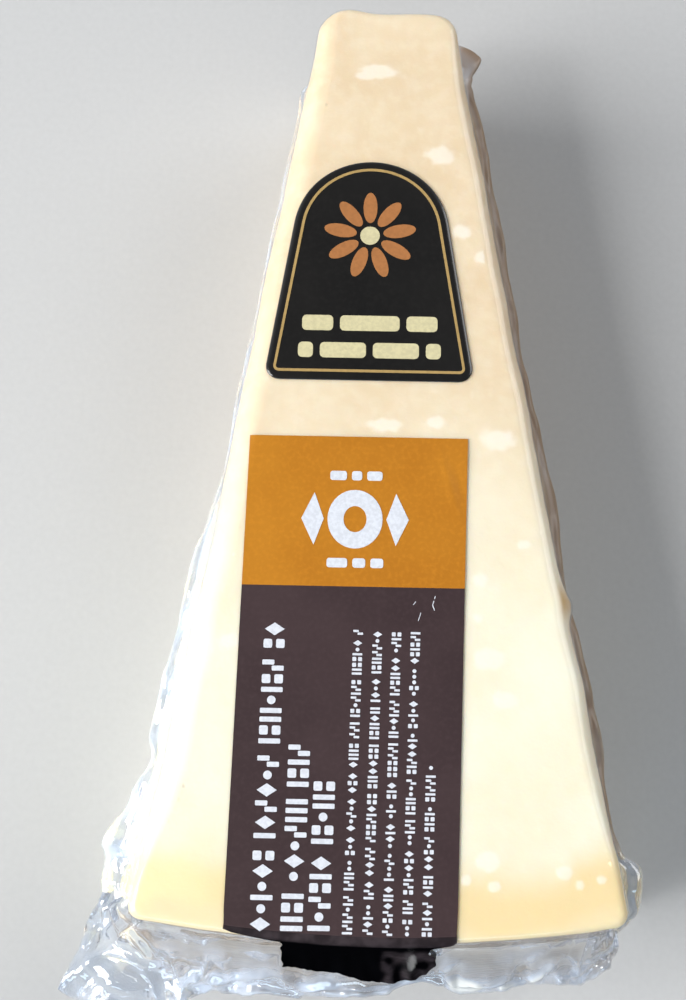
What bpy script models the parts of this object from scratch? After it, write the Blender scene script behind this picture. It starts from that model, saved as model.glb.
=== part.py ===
# Vacuum-packed wedge of hard aged cheese, lying on its flat side.
# The wedge is a sector of a wheel. While it is modelled, the wheel's centre is at X = Y = 0 and the rind
# faces -Y. The finished pieces are then moved so that the middle of their base is at the origin.
import math

import bmesh
import bpy
from mathutils import Vector, noise

MM = 0.001

# The cut of cheese
WHEEL_RADIUS = 215 * MM
TIP_DISTANCE = 62.6 * MM
HALF_ANGLE = math.radians(9.9)
THICKNESS = 40 * MM
TIP_CORNER = 4.0 * MM
RIND_CORNER = 2.2 * MM
BASE_ROUNDING = 1.5 * MM
BROAD_ROUNDING = 4.4 * MM
TIGHT_ROUNDING = 1.5 * MM
CUT_RELIEF = 0.35 * MM
CUT_GRAIN = 11 * MM

# The narrow end's swellings: their middle's X, how far they stand out and their half width
END_SWELLINGS = (
    (-7.5 * MM, 1.0 * MM, 3.8 * MM),
    (6.0 * MM, 0.3 * MM, 3.6 * MM),
)
END_DEPTH = 12 * MM

# The film's seam flange all round the wedge. Each row is a place on the way round, the flange's reach
# beyond the wall, its height above the base and how much it is crumpled, the last three in millimetres.
# Place 0 is the middle of the narrow end, 1 its left corner, 2 and 3 the rind's left and right corners,
# 4 the narrow end's right corner and 5 the middle of the narrow end again.
FLANGE = (
    (0.000, 4.0, 15, 0.8),
    (0.800, 2.6, 15, 0.9),
    (1.000, 2.2, 15, 0.9),
    (1.020, 3.4, 16, 0.6),
    (1.060, 3.0, 16, 0.6),
    (1.500, 2.9, 16, 0.7),
    (1.650, 5.0, 16, 1.3),
    (1.810, 5.5, 16, 1.6),
    (1.840, 4.3, 16, 1.6),
    (1.880, 6.5, 16, 2.4),
    (1.923, 9.0, 15, 3.2),
    (1.952, 8.1, 14, 3.2),
    (1.988, 6.8, 13, 3.0),
    (1.996, 11.8, 12, 3.6),
    (2.003, 18.6, 11, 4.4),
    (2.014, 17.2, 11, 4.4),
    (2.030, 14.6, 11, 4.2),
    (2.090, 12.4, 12, 3.8),
    (2.180, 9.6, 14, 3.0),
    (2.300, 8.8, 15, 1.8),
    (2.460, 8.0, 16, 1.4),
    (2.620, 6.6, 16, 1.4),
    (2.700, 7.8, 15, 3.2),
    (2.860, 8.2, 15, 3.6),
    (2.960, 8.6, 14, 3.4),
    (2.988, 6.8, 14, 2.4),
    (3.005, 4.4, 15, 1.6),
    (3.060, 7.8, 15, 2.0),
    (3.100, 6.2, 16, 1.4),
    (3.600, 6.1, 16, 1.0),
    (3.940, 5.0, 16, 1.0),
    (3.985, 5.2, 15, 1.0),
    (3.998, 9.6, 15, 1.2),
    (4.080, 6.0, 15, 0.9),
    (4.300, 4.2, 15, 0.8),
    (5.000, 4.0, 15, 0.8),
)
SEAM_THICKNESS = 1.0 * MM
CRUMPLE_THICKENS = 0.55
FOLD_LENGTH = 7.5 * MM
SCALLOP = 0.10
LOWEST_FOLD = 1.2 * MM

# Spacing of the sections round the wedge
STEP_ALONG_SIDES = 3.4 * MM
STEP_ALONG_RIND = 1.9 * MM
STEPS_AT_CORNER = 12
FILLET_STEPS = 4
WEB_STEPS = 7
RIM_STEPS = 3
UNDERSIDE_STEPS = 4
BASE_STEPS = 2

# The printed fields on the film
PRINT_GAP = 0.3 * MM
PRINT_THICKNESS = 0.25 * MM
PANEL_WIDTH = 34.5 * MM
PANEL_CENTRE_X = -3.6 * MM
PANEL_START_Y = -137.6 * MM
PANEL_SPLIT_Y = -161.7 * MM
PANEL_SKEW = 0.0197
PANEL_COLUMNS = 18
PANEL_DROP = 0.82
BADGE_CENTRE_X = -2.2 * MM
BADGE_TOP_Y = -90.2 * MM
BADGE_ARCH_RADIUS = 12.8 * MM
BADGE_FOOT_WIDTH = 33.4 * MM
BADGE_HEIGHT = 38 * MM
BADGE_CORNER = 2.2 * MM
BADGE_ARCH_STEPS = 24
BADGE_CORNER_STEPS = 4


def material(name, colour, roughness):
    made = bpy.data.materials.new(name)
    made.use_nodes = True
    shader = made.node_tree.nodes["Principled BSDF"]
    shader.inputs["Base Color"].default_value = (*colour, 1.0)
    shader.inputs["Roughness"].default_value = roughness
    shader.inputs["Metallic"].default_value = 0.0
    return made


def add_object(name, mesh_data, finish):
    mesh = bpy.data.meshes.new(name)
    mesh_data.to_mesh(mesh)
    mesh_data.free()
    mesh.materials.append(finish)
    mesh.shade_smooth()
    mesh.set_sharp_from_angle(angle=math.radians(50))
    made = bpy.data.objects.new(name, mesh)
    bpy.context.scene.collection.objects.link(made)
    return made


def lerp(low, high, part):
    return low + (high - low) * part


def smooth(part):
    part = min(max(part, 0.0), 1.0)
    return part * part * (3 - 2 * part)


def heading(angle):
    return Vector((math.cos(angle), math.sin(angle)))


def rind_corner_angle():
    """Angle of the wheel's radius through the centre of the rind's corner, from the wedge's middle."""
    return HALF_ANGLE - math.asin(RIND_CORNER / (WHEEL_RADIUS - RIND_CORNER))


def wedge_stretches():
    """The stretches of the wedge's outline, from the narrow end's middle anticlockwise seen from above.

    Each is a function from 0..1 to a point and its outward angle, with its length and number of steps.
    """
    left_angle = math.pi - HALF_ANGLE
    tip_run = (TIP_DISTANCE + TIP_CORNER - TIP_CORNER * math.sin(HALF_ANGLE)) / math.cos(HALF_ANGLE)
    down_left = Vector((-math.sin(HALF_ANGLE), -math.cos(HALF_ANGLE)))
    tip_centre = down_left * tip_run - heading(left_angle) * TIP_CORNER
    rind_turn = rind_corner_angle()
    rind_centre = Vector((-math.sin(rind_turn), -math.cos(rind_turn))) * (WHEEL_RADIUS - RIND_CORNER)
    down = 1.5 * math.pi

    def mirrored(point):
        return Vector((-point.x, point.y))

    def line(start, end, angle):
        return lambda part: (start.lerp(end, part), angle)

    def corner(centre, radius, first, last):
        def at(part):
            angle = lerp(first, last, part)
            return centre + heading(angle) * radius, angle

        return at

    def rind(part):
        angle = lerp(down - rind_turn, down + rind_turn, part)
        return heading(angle) * WHEEL_RADIUS, angle

    def count(length, step):
        return max(2, round(length / step))

    up = 0.5 * math.pi
    tip_edge = tip_centre + Vector((0, TIP_CORNER))
    tip_middle = Vector((0, tip_edge.y))
    left_top = tip_centre + heading(left_angle) * TIP_CORNER
    left_bottom = rind_centre + heading(left_angle) * RIND_CORNER
    right_angle = 2 * math.pi + HALF_ANGLE
    side = (left_bottom - left_top).length
    end = abs(tip_edge.x)
    rind_length = 2 * rind_turn * WHEEL_RADIUS
    tip_turn = TIP_CORNER * (left_angle - up)
    rind_corner_turn = RIND_CORNER * (down - rind_turn - left_angle)
    rind_left = corner(rind_centre, RIND_CORNER, left_angle, down - rind_turn)
    rind_right = corner(mirrored(rind_centre), RIND_CORNER, down + rind_turn, right_angle)
    on_side = count(side, STEP_ALONG_SIDES)
    on_end = count(end, STEP_ALONG_SIDES)
    return (
        (line(tip_middle, tip_edge, up), end, on_end),
        (corner(tip_centre, TIP_CORNER, up, left_angle), tip_turn, STEPS_AT_CORNER),
        (line(left_top, left_bottom, left_angle), side, on_side),
        (rind_left, rind_corner_turn, STEPS_AT_CORNER),
        (rind, rind_length, count(rind_length, STEP_ALONG_RIND)),
        (rind_right, rind_corner_turn, STEPS_AT_CORNER),
        (line(mirrored(left_bottom), mirrored(left_top), right_angle), side, on_side),
        (corner(mirrored(tip_centre), TIP_CORNER, right_angle, 2.5 * math.pi), tip_turn, STEPS_AT_CORNER),
        (line(mirrored(tip_edge), tip_middle, 2.5 * math.pi), end, on_end),
    )


def section_places():
    """Every section round the wedge: its wall point, outward angle and place as FLANGE counts it."""
    stretches = wedge_stretches()
    lengths = [length for _, length, _ in stretches]
    marks = (
        0,
        lengths[0] + lengths[1] / 2,
        sum(lengths[:3]) + lengths[3] / 2,
        sum(lengths[:5]) + lengths[5] / 2,
        sum(lengths[:7]) + lengths[7] / 2,
        sum(lengths),
    )
    places = []
    travelled = 0
    for at, length, steps in stretches:
        for step in range(steps):
            part = step / steps
            point, angle = at(part)
            point = Vector((point.x, point.y + end_swelling(point)))
            places.append((point, angle, flange_place(travelled + length * part, marks)))
        travelled += length
    return places


def end_swelling(point):
    """How far the narrow end's unevenness moves a point of the outline in Y."""
    share = smooth((point.y + TIP_DISTANCE + END_DEPTH) / END_DEPTH)
    return share * sum(
        rise * math.exp(-(((point.x - middle) / width) ** 2)) for middle, rise, width in END_SWELLINGS
    )


def flange_place(travelled, marks):
    for index in range(len(marks) - 1):
        if travelled <= marks[index + 1]:
            return index + (travelled - marks[index]) / (marks[index + 1] - marks[index])
    return float(len(marks) - 1)


def flange_at(place):
    """Reach, height and crumpling of the flange, in metres."""
    for before, after in zip(FLANGE, FLANGE[1:]):
        if place <= after[0]:
            part = smooth((place - before[0]) / (after[0] - before[0]))
            return [lerp(low, high, part) * MM for low, high in zip(before[1:], after[1:])]
    return [value * MM for value in FLANGE[-1][1:]]


def top_rounding(place):
    """Radius of the film over the top edge: broad on the left side, tight on the right."""
    onto_left = smooth((place - 1.0) / 0.1) * (1 - smooth((place - 1.87) / 0.1))
    return lerp(TIGHT_ROUNDING, BROAD_ROUNDING, onto_left)


def rind_share(place):
    """1 along the rind, where the film slants out to the flange, and 0 along the other sides."""
    return smooth((place - 1.97) / 0.12) * (1 - smooth((place - 2.92) / 0.1))


def bend(start, control, end, part):
    return start * (1 - part) ** 2 + control * (2 * part * (1 - part)) + end * part**2


def section(place):
    """Outline of one section, from the top face to the base: distance beyond the wall, height."""
    reach, seam, crumple = flange_at(place)
    rounding = top_rounding(place)
    rind = rind_share(place)
    half = (SEAM_THICKNESS + CRUMPLE_THICKENS * crumple) / 2
    outline = []
    for step in range(FILLET_STEPS):
        turn = 0.5 * math.pi * step / FILLET_STEPS
        drop = rounding * (1 - math.cos(turn))
        outline.append(Vector((rounding * (math.sin(turn) - 1), THICKNESS - drop)))
    wall_top = Vector((0, THICKNESS - rounding))
    web_control = Vector((lerp(0.3, 2.0, rind) * MM, seam + lerp(1.2, 7.0, rind) * MM))
    rim_top = Vector((reach - half, seam + half))
    for step in range(WEB_STEPS):
        outline.append(bend(wall_top, web_control, rim_top, step / WEB_STEPS))
    for step in range(RIM_STEPS + 1):
        turn = math.pi * (0.5 - step / RIM_STEPS)
        outline.append(Vector((reach - half + half * math.cos(turn), seam + half * math.sin(turn))))
    rim_bottom = Vector((reach - half, seam - half))
    under_control = Vector((lerp(0.3, 1.0, rind) * MM, seam - lerp(1.5, 3.0, rind) * MM))
    wall_bottom = Vector((0, 0.3 * seam))
    for step in range(1, UNDERSIDE_STEPS + 1):
        outline.append(bend(rim_bottom, under_control, wall_bottom, step / UNDERSIDE_STEPS))
    for step in range(BASE_STEPS + 1):
        turn = 0.5 * math.pi * step / BASE_STEPS
        rise = BASE_ROUNDING * (1 - math.sin(turn))
        outline.append(Vector((BASE_ROUNDING * (math.cos(turn) - 1), rise)))
    return outline


def crumpled(wall, angle, place, spot):
    """World position of a section's spot, with the flange's folds and the cut's shallow relief."""
    reach, _, crumple = flange_at(place)
    away = heading(angle)
    out = max(spot.x, 0) / reach
    flat = wall + away * spot.x
    grain = Vector((flat.x / CUT_GRAIN, flat.y / CUT_GRAIN, spot.y / CUT_GRAIN))
    relief = CUT_RELIEF * noise.noise(grain) * (1 - rind_share(place))
    ripple = noise.noise(Vector((wall.x / FOLD_LENGTH + 7, wall.y / FOLD_LENGTH, angle)))
    distance = spot.x + relief + SCALLOP * reach * out * ripple
    flat = wall + away * distance
    fold = noise.noise(Vector((flat.x / FOLD_LENGTH, flat.y / FOLD_LENGTH, 3)))
    crease = noise.noise(Vector((flat.x * 2.1 / FOLD_LENGTH, flat.y * 2.1 / FOLD_LENGTH, 9)))
    lift = crumple * out**1.5 * (1.5 * fold + 0.6 * crease)
    height = spot.y + lift
    if out > 0.05:
        height = max(height, LOWEST_FOLD)
    return Vector((flat.x, flat.y, height))


def make_pack():
    """The sealed film and the wedge inside it, as one closed skin of rings from the top to the base."""
    built = bmesh.new()
    columns = []
    for wall, angle, place in section_places():
        spots = [crumpled(wall, angle, place, spot) for spot in section(place)]
        columns.append([built.verts.new(spot) for spot in spots])
    for index, column in enumerate(columns):
        following = columns[(index + 1) % len(columns)]
        for upper in range(len(column) - 1):
            built.faces.new((column[upper], column[upper + 1], following[upper + 1], following[upper]))
    built.faces.new([column[0] for column in columns])
    built.faces.new([column[-1] for column in reversed(columns)])
    bmesh.ops.triangulate(built, faces=built.faces)
    return add_object("sealed_pack", built, material("pack", (0.90, 0.78, 0.55), 0.35))


def thin_sheet(rows):
    """A closed thin solid over rows of (point, outward direction) on the pack's surface."""
    built = bmesh.new()
    high = PRINT_GAP + PRINT_THICKNESS
    under = [[built.verts.new(point + out * PRINT_GAP) for point, out in row] for row in rows]
    over = [[built.verts.new(point + out * high) for point, out in row] for row in rows]
    last_row = len(rows) - 1
    last = len(rows[0]) - 1
    for row in range(last_row):
        for column in range(last):
            for grid in (over, under):
                near = (grid[row][column], grid[row + 1][column])
                far = (grid[row + 1][column + 1], grid[row][column + 1])
                built.faces.new(near + far)
    edge = [(0, column) for column in range(last, 0, -1)]
    edge += [(row, 0) for row in range(last_row)]
    edge += [(last_row, column) for column in range(last)]
    edge += [(row, last) for row in range(last_row, 0, -1)]
    for (row, column), (next_row, next_column) in zip(edge, edge[1:] + edge[:1]):
        here = (over[row][column], under[row][column])
        there = (under[next_row][next_column], over[next_row][next_column])
        built.faces.new(here + there)
    bmesh.ops.recalc_face_normals(built, faces=built.faces)
    return built


def panel_spot(across, y):
    """Point on the top face: across runs from -0.5 to 0.5 over the panel's width."""
    x = PANEL_CENTRE_X + across * PANEL_WIDTH + PANEL_SKEW * (y - PANEL_START_Y)
    return Vector((x, y, THICKNESS))


def flat_rows(ys):
    up = Vector((0, 0, 1))
    rows = []
    for y in ys:
        acrosses = [column / PANEL_COLUMNS - 0.5 for column in range(PANEL_COLUMNS + 1)]
        rows.append([(panel_spot(across, y), up) for across in acrosses])
    return rows


def wrapped_rows():
    """Rows of the lower panel that turn over the rind's edge and follow the film down to the flange."""
    columns = []
    for column in range(PANEL_COLUMNS + 1):
        across = column / PANEL_COLUMNS - 0.5
        end = panel_spot(across, -WHEEL_RADIUS).xy
        angle = math.atan2(end.y, end.x) + 2 * math.pi
        place = 2.5 + 0.5 * (angle - 1.5 * math.pi) / rind_corner_angle()
        outline = section(place)
        shown = 2 + int((FILLET_STEPS + WEB_STEPS) * PANEL_DROP)
        column_points = []
        for index in range(shown):
            ahead = outline[index + 1] - outline[index - 1] if index else Vector((1, 0))
            out = Vector((-ahead.y, ahead.x)).normalized()
            spot = crumpled(heading(angle) * WHEEL_RADIUS, angle, place, outline[index])
            slant = heading(angle) * out.x
            column_points.append((spot, Vector((slant.x, slant.y, out.y))))
        columns.append(column_points)
    return [list(row) for row in zip(*columns)]


def make_upper_panel():
    rows = flat_rows((PANEL_START_Y, PANEL_SPLIT_Y + PRINT_GAP / 2))
    return add_object("upper_panel", thin_sheet(rows), material("ochre_print", (0.51, 0.21, 0.025), 0.3))


def make_lower_panel():
    edge_y = -(WHEEL_RADIUS - 5 * MM)
    ys = (PANEL_SPLIT_Y - PRINT_GAP / 2, lerp(PANEL_SPLIT_Y, edge_y, 0.5), edge_y)
    sheet = thin_sheet(flat_rows(ys) + wrapped_rows())
    return add_object("lower_panel", sheet, material("brown_print", (0.06, 0.04, 0.045), 0.3))


def arched_plaque():
    """Outline of a round-arched plaque that widens towards its foot, anticlockwise."""
    arch_centre = Vector((BADGE_CENTRE_X, BADGE_TOP_Y - BADGE_ARCH_RADIUS))
    foot_y = BADGE_TOP_Y - BADGE_HEIGHT
    spread = BADGE_FOOT_WIDTH / 2 - BADGE_ARCH_RADIUS
    flare = math.atan2(spread, BADGE_HEIGHT - BADGE_ARCH_RADIUS)
    rim = []
    for step in range(BADGE_ARCH_STEPS + 1):
        angle = lerp(flare, math.pi - flare, step / BADGE_ARCH_STEPS)
        rim.append(arch_centre + heading(angle) * BADGE_ARCH_RADIUS)
    down = 1.5 * math.pi
    for side, first, last in ((-1, math.pi - flare, down), (1, down, 2 * math.pi + flare)):
        inwards = BADGE_FOOT_WIDTH / 2 - BADGE_CORNER * (1 + math.tan(flare / 2))
        centre = Vector((BADGE_CENTRE_X + side * inwards, foot_y + BADGE_CORNER))
        for step in range(BADGE_CORNER_STEPS + 1):
            rim.append(centre + heading(lerp(first, last, step / BADGE_CORNER_STEPS)) * BADGE_CORNER)
    return rim


def make_badge():
    built = bmesh.new()
    low = THICKNESS + PRINT_GAP
    face = built.faces.new([built.verts.new((spot.x, spot.y, low)) for spot in arched_plaque()])
    raised = bmesh.ops.extrude_face_region(built, geom=[face])
    lifted = [item for item in raised["geom"] if isinstance(item, bmesh.types.BMVert)]
    bmesh.ops.translate(built, verts=lifted, vec=(0, 0, PRINT_THICKNESS))
    bmesh.ops.recalc_face_normals(built, faces=built.faces)
    return add_object("badge", built, material("black_print", (0.012, 0.011, 0.010), 0.15))


def centre_on_base(pieces):
    """Moves every mesh so that the middle of the whole model's base is at the origin."""
    corners = [vertex.co for piece in pieces for vertex in piece.data.vertices]
    low = [min(corner[axis] for corner in corners) for axis in range(3)]
    high = [max(corner[axis] for corner in corners) for axis in range(3)]
    shift = Vector((-(low[0] + high[0]) / 2, -(low[1] + high[1]) / 2, -low[2]))
    for piece in pieces:
        for vertex in piece.data.vertices:
            vertex.co += shift


def main():
    for old in list(bpy.data.objects):
        bpy.data.objects.remove(old)
    pieces = [make_pack(), make_upper_panel(), make_lower_panel(), make_badge()]
    centre_on_base(pieces)


main()
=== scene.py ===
import math
import random

import bmesh
import bpy
import numpy as np
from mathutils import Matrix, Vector, noise
from mathutils.geometry import delaunay_2d_cdt

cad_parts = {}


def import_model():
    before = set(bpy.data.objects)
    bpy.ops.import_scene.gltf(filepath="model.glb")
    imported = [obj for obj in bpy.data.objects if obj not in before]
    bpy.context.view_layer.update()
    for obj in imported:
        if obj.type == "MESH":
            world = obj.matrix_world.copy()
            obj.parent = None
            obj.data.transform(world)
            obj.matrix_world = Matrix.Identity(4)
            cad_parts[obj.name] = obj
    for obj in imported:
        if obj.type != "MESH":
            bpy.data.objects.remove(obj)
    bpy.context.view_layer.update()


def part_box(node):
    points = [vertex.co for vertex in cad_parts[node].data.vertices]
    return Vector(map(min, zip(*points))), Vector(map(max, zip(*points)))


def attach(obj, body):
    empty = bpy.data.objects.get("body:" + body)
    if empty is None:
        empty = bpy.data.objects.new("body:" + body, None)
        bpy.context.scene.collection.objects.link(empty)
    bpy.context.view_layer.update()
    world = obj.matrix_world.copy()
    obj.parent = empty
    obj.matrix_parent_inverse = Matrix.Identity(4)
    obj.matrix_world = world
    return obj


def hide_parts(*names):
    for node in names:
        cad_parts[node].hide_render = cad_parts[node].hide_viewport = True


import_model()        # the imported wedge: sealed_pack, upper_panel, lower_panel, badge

mm = 0.001

# Places and sizes below are in millimetres from the cheese wheel's centre, rind towards -Y.
badgeLow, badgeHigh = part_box("badge")
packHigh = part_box("sealed_pack")[1]
wheelCentre = {
    "x": (badgeLow[0] + badgeHigh[0]) / 2 / mm + 2.2,      # the badge's middle is 2.2 left of the centre
    "y": badgeHigh[1] / mm + 90.2,                         # and its top 90.2 in front of it
}

wedge = {
    "wheelRadius": 215.0,
    "tipDistance": 62.25,
    "halfAngle": math.radians(9.9),
    "thickness": packHigh[2] / mm,
    "tipCorner": 4.0,
    "rindCorner": 2.2,
    "baseRounding": 1.5,
    "broadRounding": 4.4,          # the film over the left edge, at its widest
    "cutRelief": 0.35,             # the cut sides' unevenness
    "cutGrain": 11.0,              # and how long its waves are
    "lump": (-163.2, 34.0, 2.6, 4.5, 1.4),     # on the right side: y, z, half width, half height, depth
}

# How far the upper edge is rounded, by place round the wedge: 0 is the narrow end's middle, 1 its left
# corner, 2 and 3 the rind's corners and 4 the narrow end's right corner.
edgeRoundings = (
    (0.0, 1.5), (0.55, 1.5), (1.0, 3.2), (1.07, 4.4), (1.87, 4.4), (1.97, 1.5),
    (3.05, 1.5), (3.15, 2.6), (3.90, 2.6), (4.0, 1.7), (5.0, 1.5),
)


def lerp(low, high, part):
    return low + (high - low) * part


def smooth(part):
    part = min(max(part, 0.0), 1.0)
    return part * part * (3 - 2 * part)


# How much wider than the plain wedge the two sides are, by y
leftSwelling = ((-215, 0.0), (-140, 0.0), (-124, 0.4), (-90, 0.55), (-72, 0.5), (-60, 0.7))
rightSwelling = (
    (-215, 0.9), (-180, 0.9), (-166, 0.7), (-148, 0.35), (-138, 0.75), (-131, 0.8), (-124, 0.35),
    (-100, 0.25), (-92, 0.6), (-80, 0.5), (-72, 0.6), (-60, 0.9),
)


def tableAt(steps, part):
    # a table's value at part, eased between its entries
    for before, after in zip(steps, steps[1:]):
        if part <= after[0]:
            return lerp(before[1], after[1], smooth((part - before[0]) / (after[0] - before[0])))
    return steps[-1][1]


def noiseAt(x, y, z=0.0):
    return noise.noise(Vector((x, y, z)))


def world(x, y, z):
    return ((x + wheelCentre["x"]) * mm, (y + wheelCentre["y"]) * mm, z * mm)


# The wedge's outline, seen from above

def rindCornerAngle():
    corner = wedge["rindCorner"]
    return wedge["halfAngle"] - math.asin(corner / (wedge["wheelRadius"] - corner))


# The narrow end's swellings: x, how far they stand out, half width
endSwellings = ((-7.5, 1.0, 3.8), (6.0, 0.3, 3.6))


def endSwelling(x, y):
    share = smooth((y + wedge["tipDistance"] + 12) / 12)
    return share * sum(rise * math.exp(-((x - middle) / wide) ** 2) for middle, rise, wide in endSwellings)


def sideSwelling(x, y):
    half = -y * math.tan(wedge["halfAngle"])
    onRight = smooth((x / half - 0.45) / 0.5) * tableAt(rightSwelling, y)
    return onRight - smooth((-x / half - 0.45) / 0.5) * tableAt(leftSwelling, y)


def wedgeStretches():
    # each stretch: a function from 0..1 to (x, y, outward angle), and its length
    half = wedge["halfAngle"]
    tip = wedge["tipCorner"]
    rindCorner = wedge["rindCorner"]
    leftAngle = math.pi - half
    rightAngle = 2 * math.pi + half
    tipRun = (wedge["tipDistance"] + tip - tip * math.sin(half)) / math.cos(half)
    tipX = -math.sin(half) * tipRun - math.cos(leftAngle) * tip
    tipY = -math.cos(half) * tipRun - math.sin(leftAngle) * tip
    turn = rindCornerAngle()
    inner = wedge["wheelRadius"] - rindCorner
    rindX = -math.sin(turn) * inner
    rindY = -math.cos(turn) * inner
    down = 1.5 * math.pi
    up = 0.5 * math.pi

    def line(start, end, angle):
        length = math.hypot(end[0] - start[0], end[1] - start[1])
        return (lambda part: (lerp(start[0], end[0], part), lerp(start[1], end[1], part), angle)), length

    def arc(centre, radius, first, last):
        def at(part):
            angle = lerp(first, last, part)
            return centre[0] + math.cos(angle) * radius, centre[1] + math.sin(angle) * radius, angle

        return at, radius * (last - first)

    tipTop = (tipX, tipY + tip)
    leftTop = (tipX + math.cos(leftAngle) * tip, tipY + math.sin(leftAngle) * tip)
    leftFoot = (rindX + math.cos(leftAngle) * rindCorner, rindY + math.sin(leftAngle) * rindCorner)
    return (
        line((0, tipTop[1]), tipTop, up),
        arc((tipX, tipY), tip, up, leftAngle),
        line(leftTop, leftFoot, leftAngle),
        arc((rindX, rindY), rindCorner, leftAngle, down - turn),
        arc((0, 0), wedge["wheelRadius"], down - turn, down + turn),
        arc((-rindX, rindY), rindCorner, down + turn, rightAngle),
        line((-leftFoot[0], leftFoot[1]), (-leftTop[0], leftTop[1]), rightAngle),
        arc((-tipX, tipY), tip, rightAngle, 2.5 * math.pi),
        line((-tipTop[0], tipTop[1]), (0, tipTop[1]), 2.5 * math.pi),
    )


def stationsRound(sideStep, rindStep, cornerSteps):
    # places round the wedge: x, y, outward angle, place counted in corners, distance travelled
    stretches = wedgeStretches()
    lengths = [length for _, length in stretches]
    corners = [sum(lengths[:index]) + lengths[index] / 2 for index in (1, 3, 5, 7)]
    marks = [0, *corners, sum(lengths)]
    steps = (sideStep, None, sideStep, None, rindStep, None, sideStep, None, sideStep)
    found = []
    travelled = 0
    for (at, length), step in zip(stretches, steps):
        count = cornerSteps if step is None else max(2, round(length / step))
        for index in range(count):
            x, y, angle = at(index / count)
            distance = travelled + length * index / count
            place = placeAlong(distance, marks)
            found.append((x + sideSwelling(x, y), y + endSwelling(x, y), angle, place, distance))
        travelled += length
    return found


def placeAlong(distance, marks):
    for index in range(len(marks) - 1):
        if distance <= marks[index + 1]:
            return index + (distance - marks[index]) / (marks[index + 1] - marks[index])
    return float(len(marks) - 1)


def rindShare(place):
    return smooth((place - 1.97) / 0.12) * (1 - smooth((place - 2.92) / 0.1))


def rightShare(place):
    return smooth((place - 3.02) / 0.08) * (1 - smooth((place - 4.05) / 0.15))


def cutRelief(x, y, z, rind):
    # the cut sides' gentle unevenness
    grain = wedge["cutGrain"]
    relief = wedge["cutRelief"] * noiseAt(x / grain, y / grain, z / grain) * (1 - rind)
    lumpY, lumpZ, wide, tall, depth = wedge["lump"]
    if x > 0:
        relief += depth * math.exp(-((y - lumpY) / wide) ** 2 - ((z - lumpZ) / tall) ** 2)
    return relief


# Building meshes

def addObject(name, data):
    added = bpy.data.objects.new(name, data)
    bpy.context.scene.collection.objects.link(added)
    return added


def meshPiece(name, points, faces, materials, slots=None):
    mesh = bpy.data.meshes.new(name)
    mesh.from_pydata([world(*point) for point in points], [], faces)
    for material in materials:
        mesh.materials.append(material)
    if slots is not None:
        mesh.polygons.foreach_set("material_index", slots)
    mesh.polygons.foreach_set("use_smooth", [True] * len(mesh.polygons))
    mesh.update()
    return addObject(name, mesh)


def setAttribute(piece, name, values):
    layer = piece.data.attributes.new(name, "FLOAT", "POINT")
    layer.data.foreach_set("value", np.asarray(values, dtype=np.float32))


def loftFaces(rings, count):
    # rings of the same count, one under the next
    faces = []
    for ring in range(rings - 1):
        for index in range(count):
            after = (index + 1) % count
            upper = ring * count
            lower = upper + count
            faces.append((upper + index, lower + index, lower + after, upper + after))
    return faces


def closedLoft(rings, count, cap):
    # rings from the rim down, with a cap over the first and one face under the last
    faces = loftFaces(rings, count)
    inner = rings * count
    faces += [tuple(index if index < count else index - count + inner for index in face) for face in cap]
    faces.append(tuple(range(inner - count, inner))[::-1])
    return faces


def evenCap(rim, spacing):
    # even triangles inside a rim: the added inner points, and faces numbered as rim points, then inner ones
    edge = np.array(rim)
    low, high = edge.min(axis=0), edge.max(axis=0)
    rowStep = spacing * math.sqrt(3) / 2
    rows = np.arange(low[1], high[1], rowStep)
    spots = np.array([(x + spacing / 2 * (index % 2), y) for index, y in enumerate(rows)
                      for x in np.arange(low[0], high[0], spacing)])
    inside = np.zeros(len(spots), dtype=bool)
    away = np.full(len(spots), 1e9)
    for here, there in zip(edge, np.roll(edge, -1, axis=0)):
        crosses = (here[1] > spots[:, 1]) != (there[1] > spots[:, 1])
        rise = there[1] - here[1] or 1e-9
        inside ^= crosses & (spots[:, 0] < here[0] + (spots[:, 1] - here[1]) / rise * (there[0] - here[0]))
        away = np.minimum(away, np.hypot(spots[:, 0] - here[0], spots[:, 1] - here[1]))
    inner = [tuple(spot) for spot in spots[inside & (away > 0.6 * spacing)]]
    count = len(rim)
    edges = [(index, (index + 1) % count) for index in range(count)]
    corners = [Vector(point) for point in list(rim) + inner]
    found = delaunay_2d_cdt(corners, edges, [], 1, 0.0001)
    faces = []
    for face in found[2]:
        first, second, third = (found[3][index][0] for index in face)
        a, b, c = corners[first], corners[second], corners[third]
        turn = (b.x - a.x) * (c.y - a.y) - (b.y - a.y) * (c.x - a.x)
        faces.append((first, second, third) if turn > 0 else (first, third, second))
    return inner, faces


# Materials

def newMaterial(name):
    material = bpy.data.materials.new(name)
    material.use_nodes = True
    tree = material.node_tree
    return material, tree, tree.nodes["Principled BSDF"]


def feed(tree, node, inputs):
    # each input takes a constant or another node's output
    for key, value in inputs.items():
        socket = node.inputs[key]
        if isinstance(value, bpy.types.NodeSocket):
            tree.links.new(value, socket)
        elif socket.type == "RGBA":
            socket.default_value = (*value, 1.0)
        else:
            socket.default_value = value


def addNode(tree, kind, inputs=None, **settings):
    node = tree.nodes.new(kind)
    for key, value in settings.items():
        setattr(node, key, value)
    feed(tree, node, inputs or {})
    return node


def noiseNode(tree, source, scale, detail=2.0, roughness=0.5):
    inputs = {"Vector": source, "Scale": scale, "Detail": detail, "Roughness": roughness}
    return addNode(tree, "ShaderNodeTexNoise", inputs).outputs["Fac"]


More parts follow.
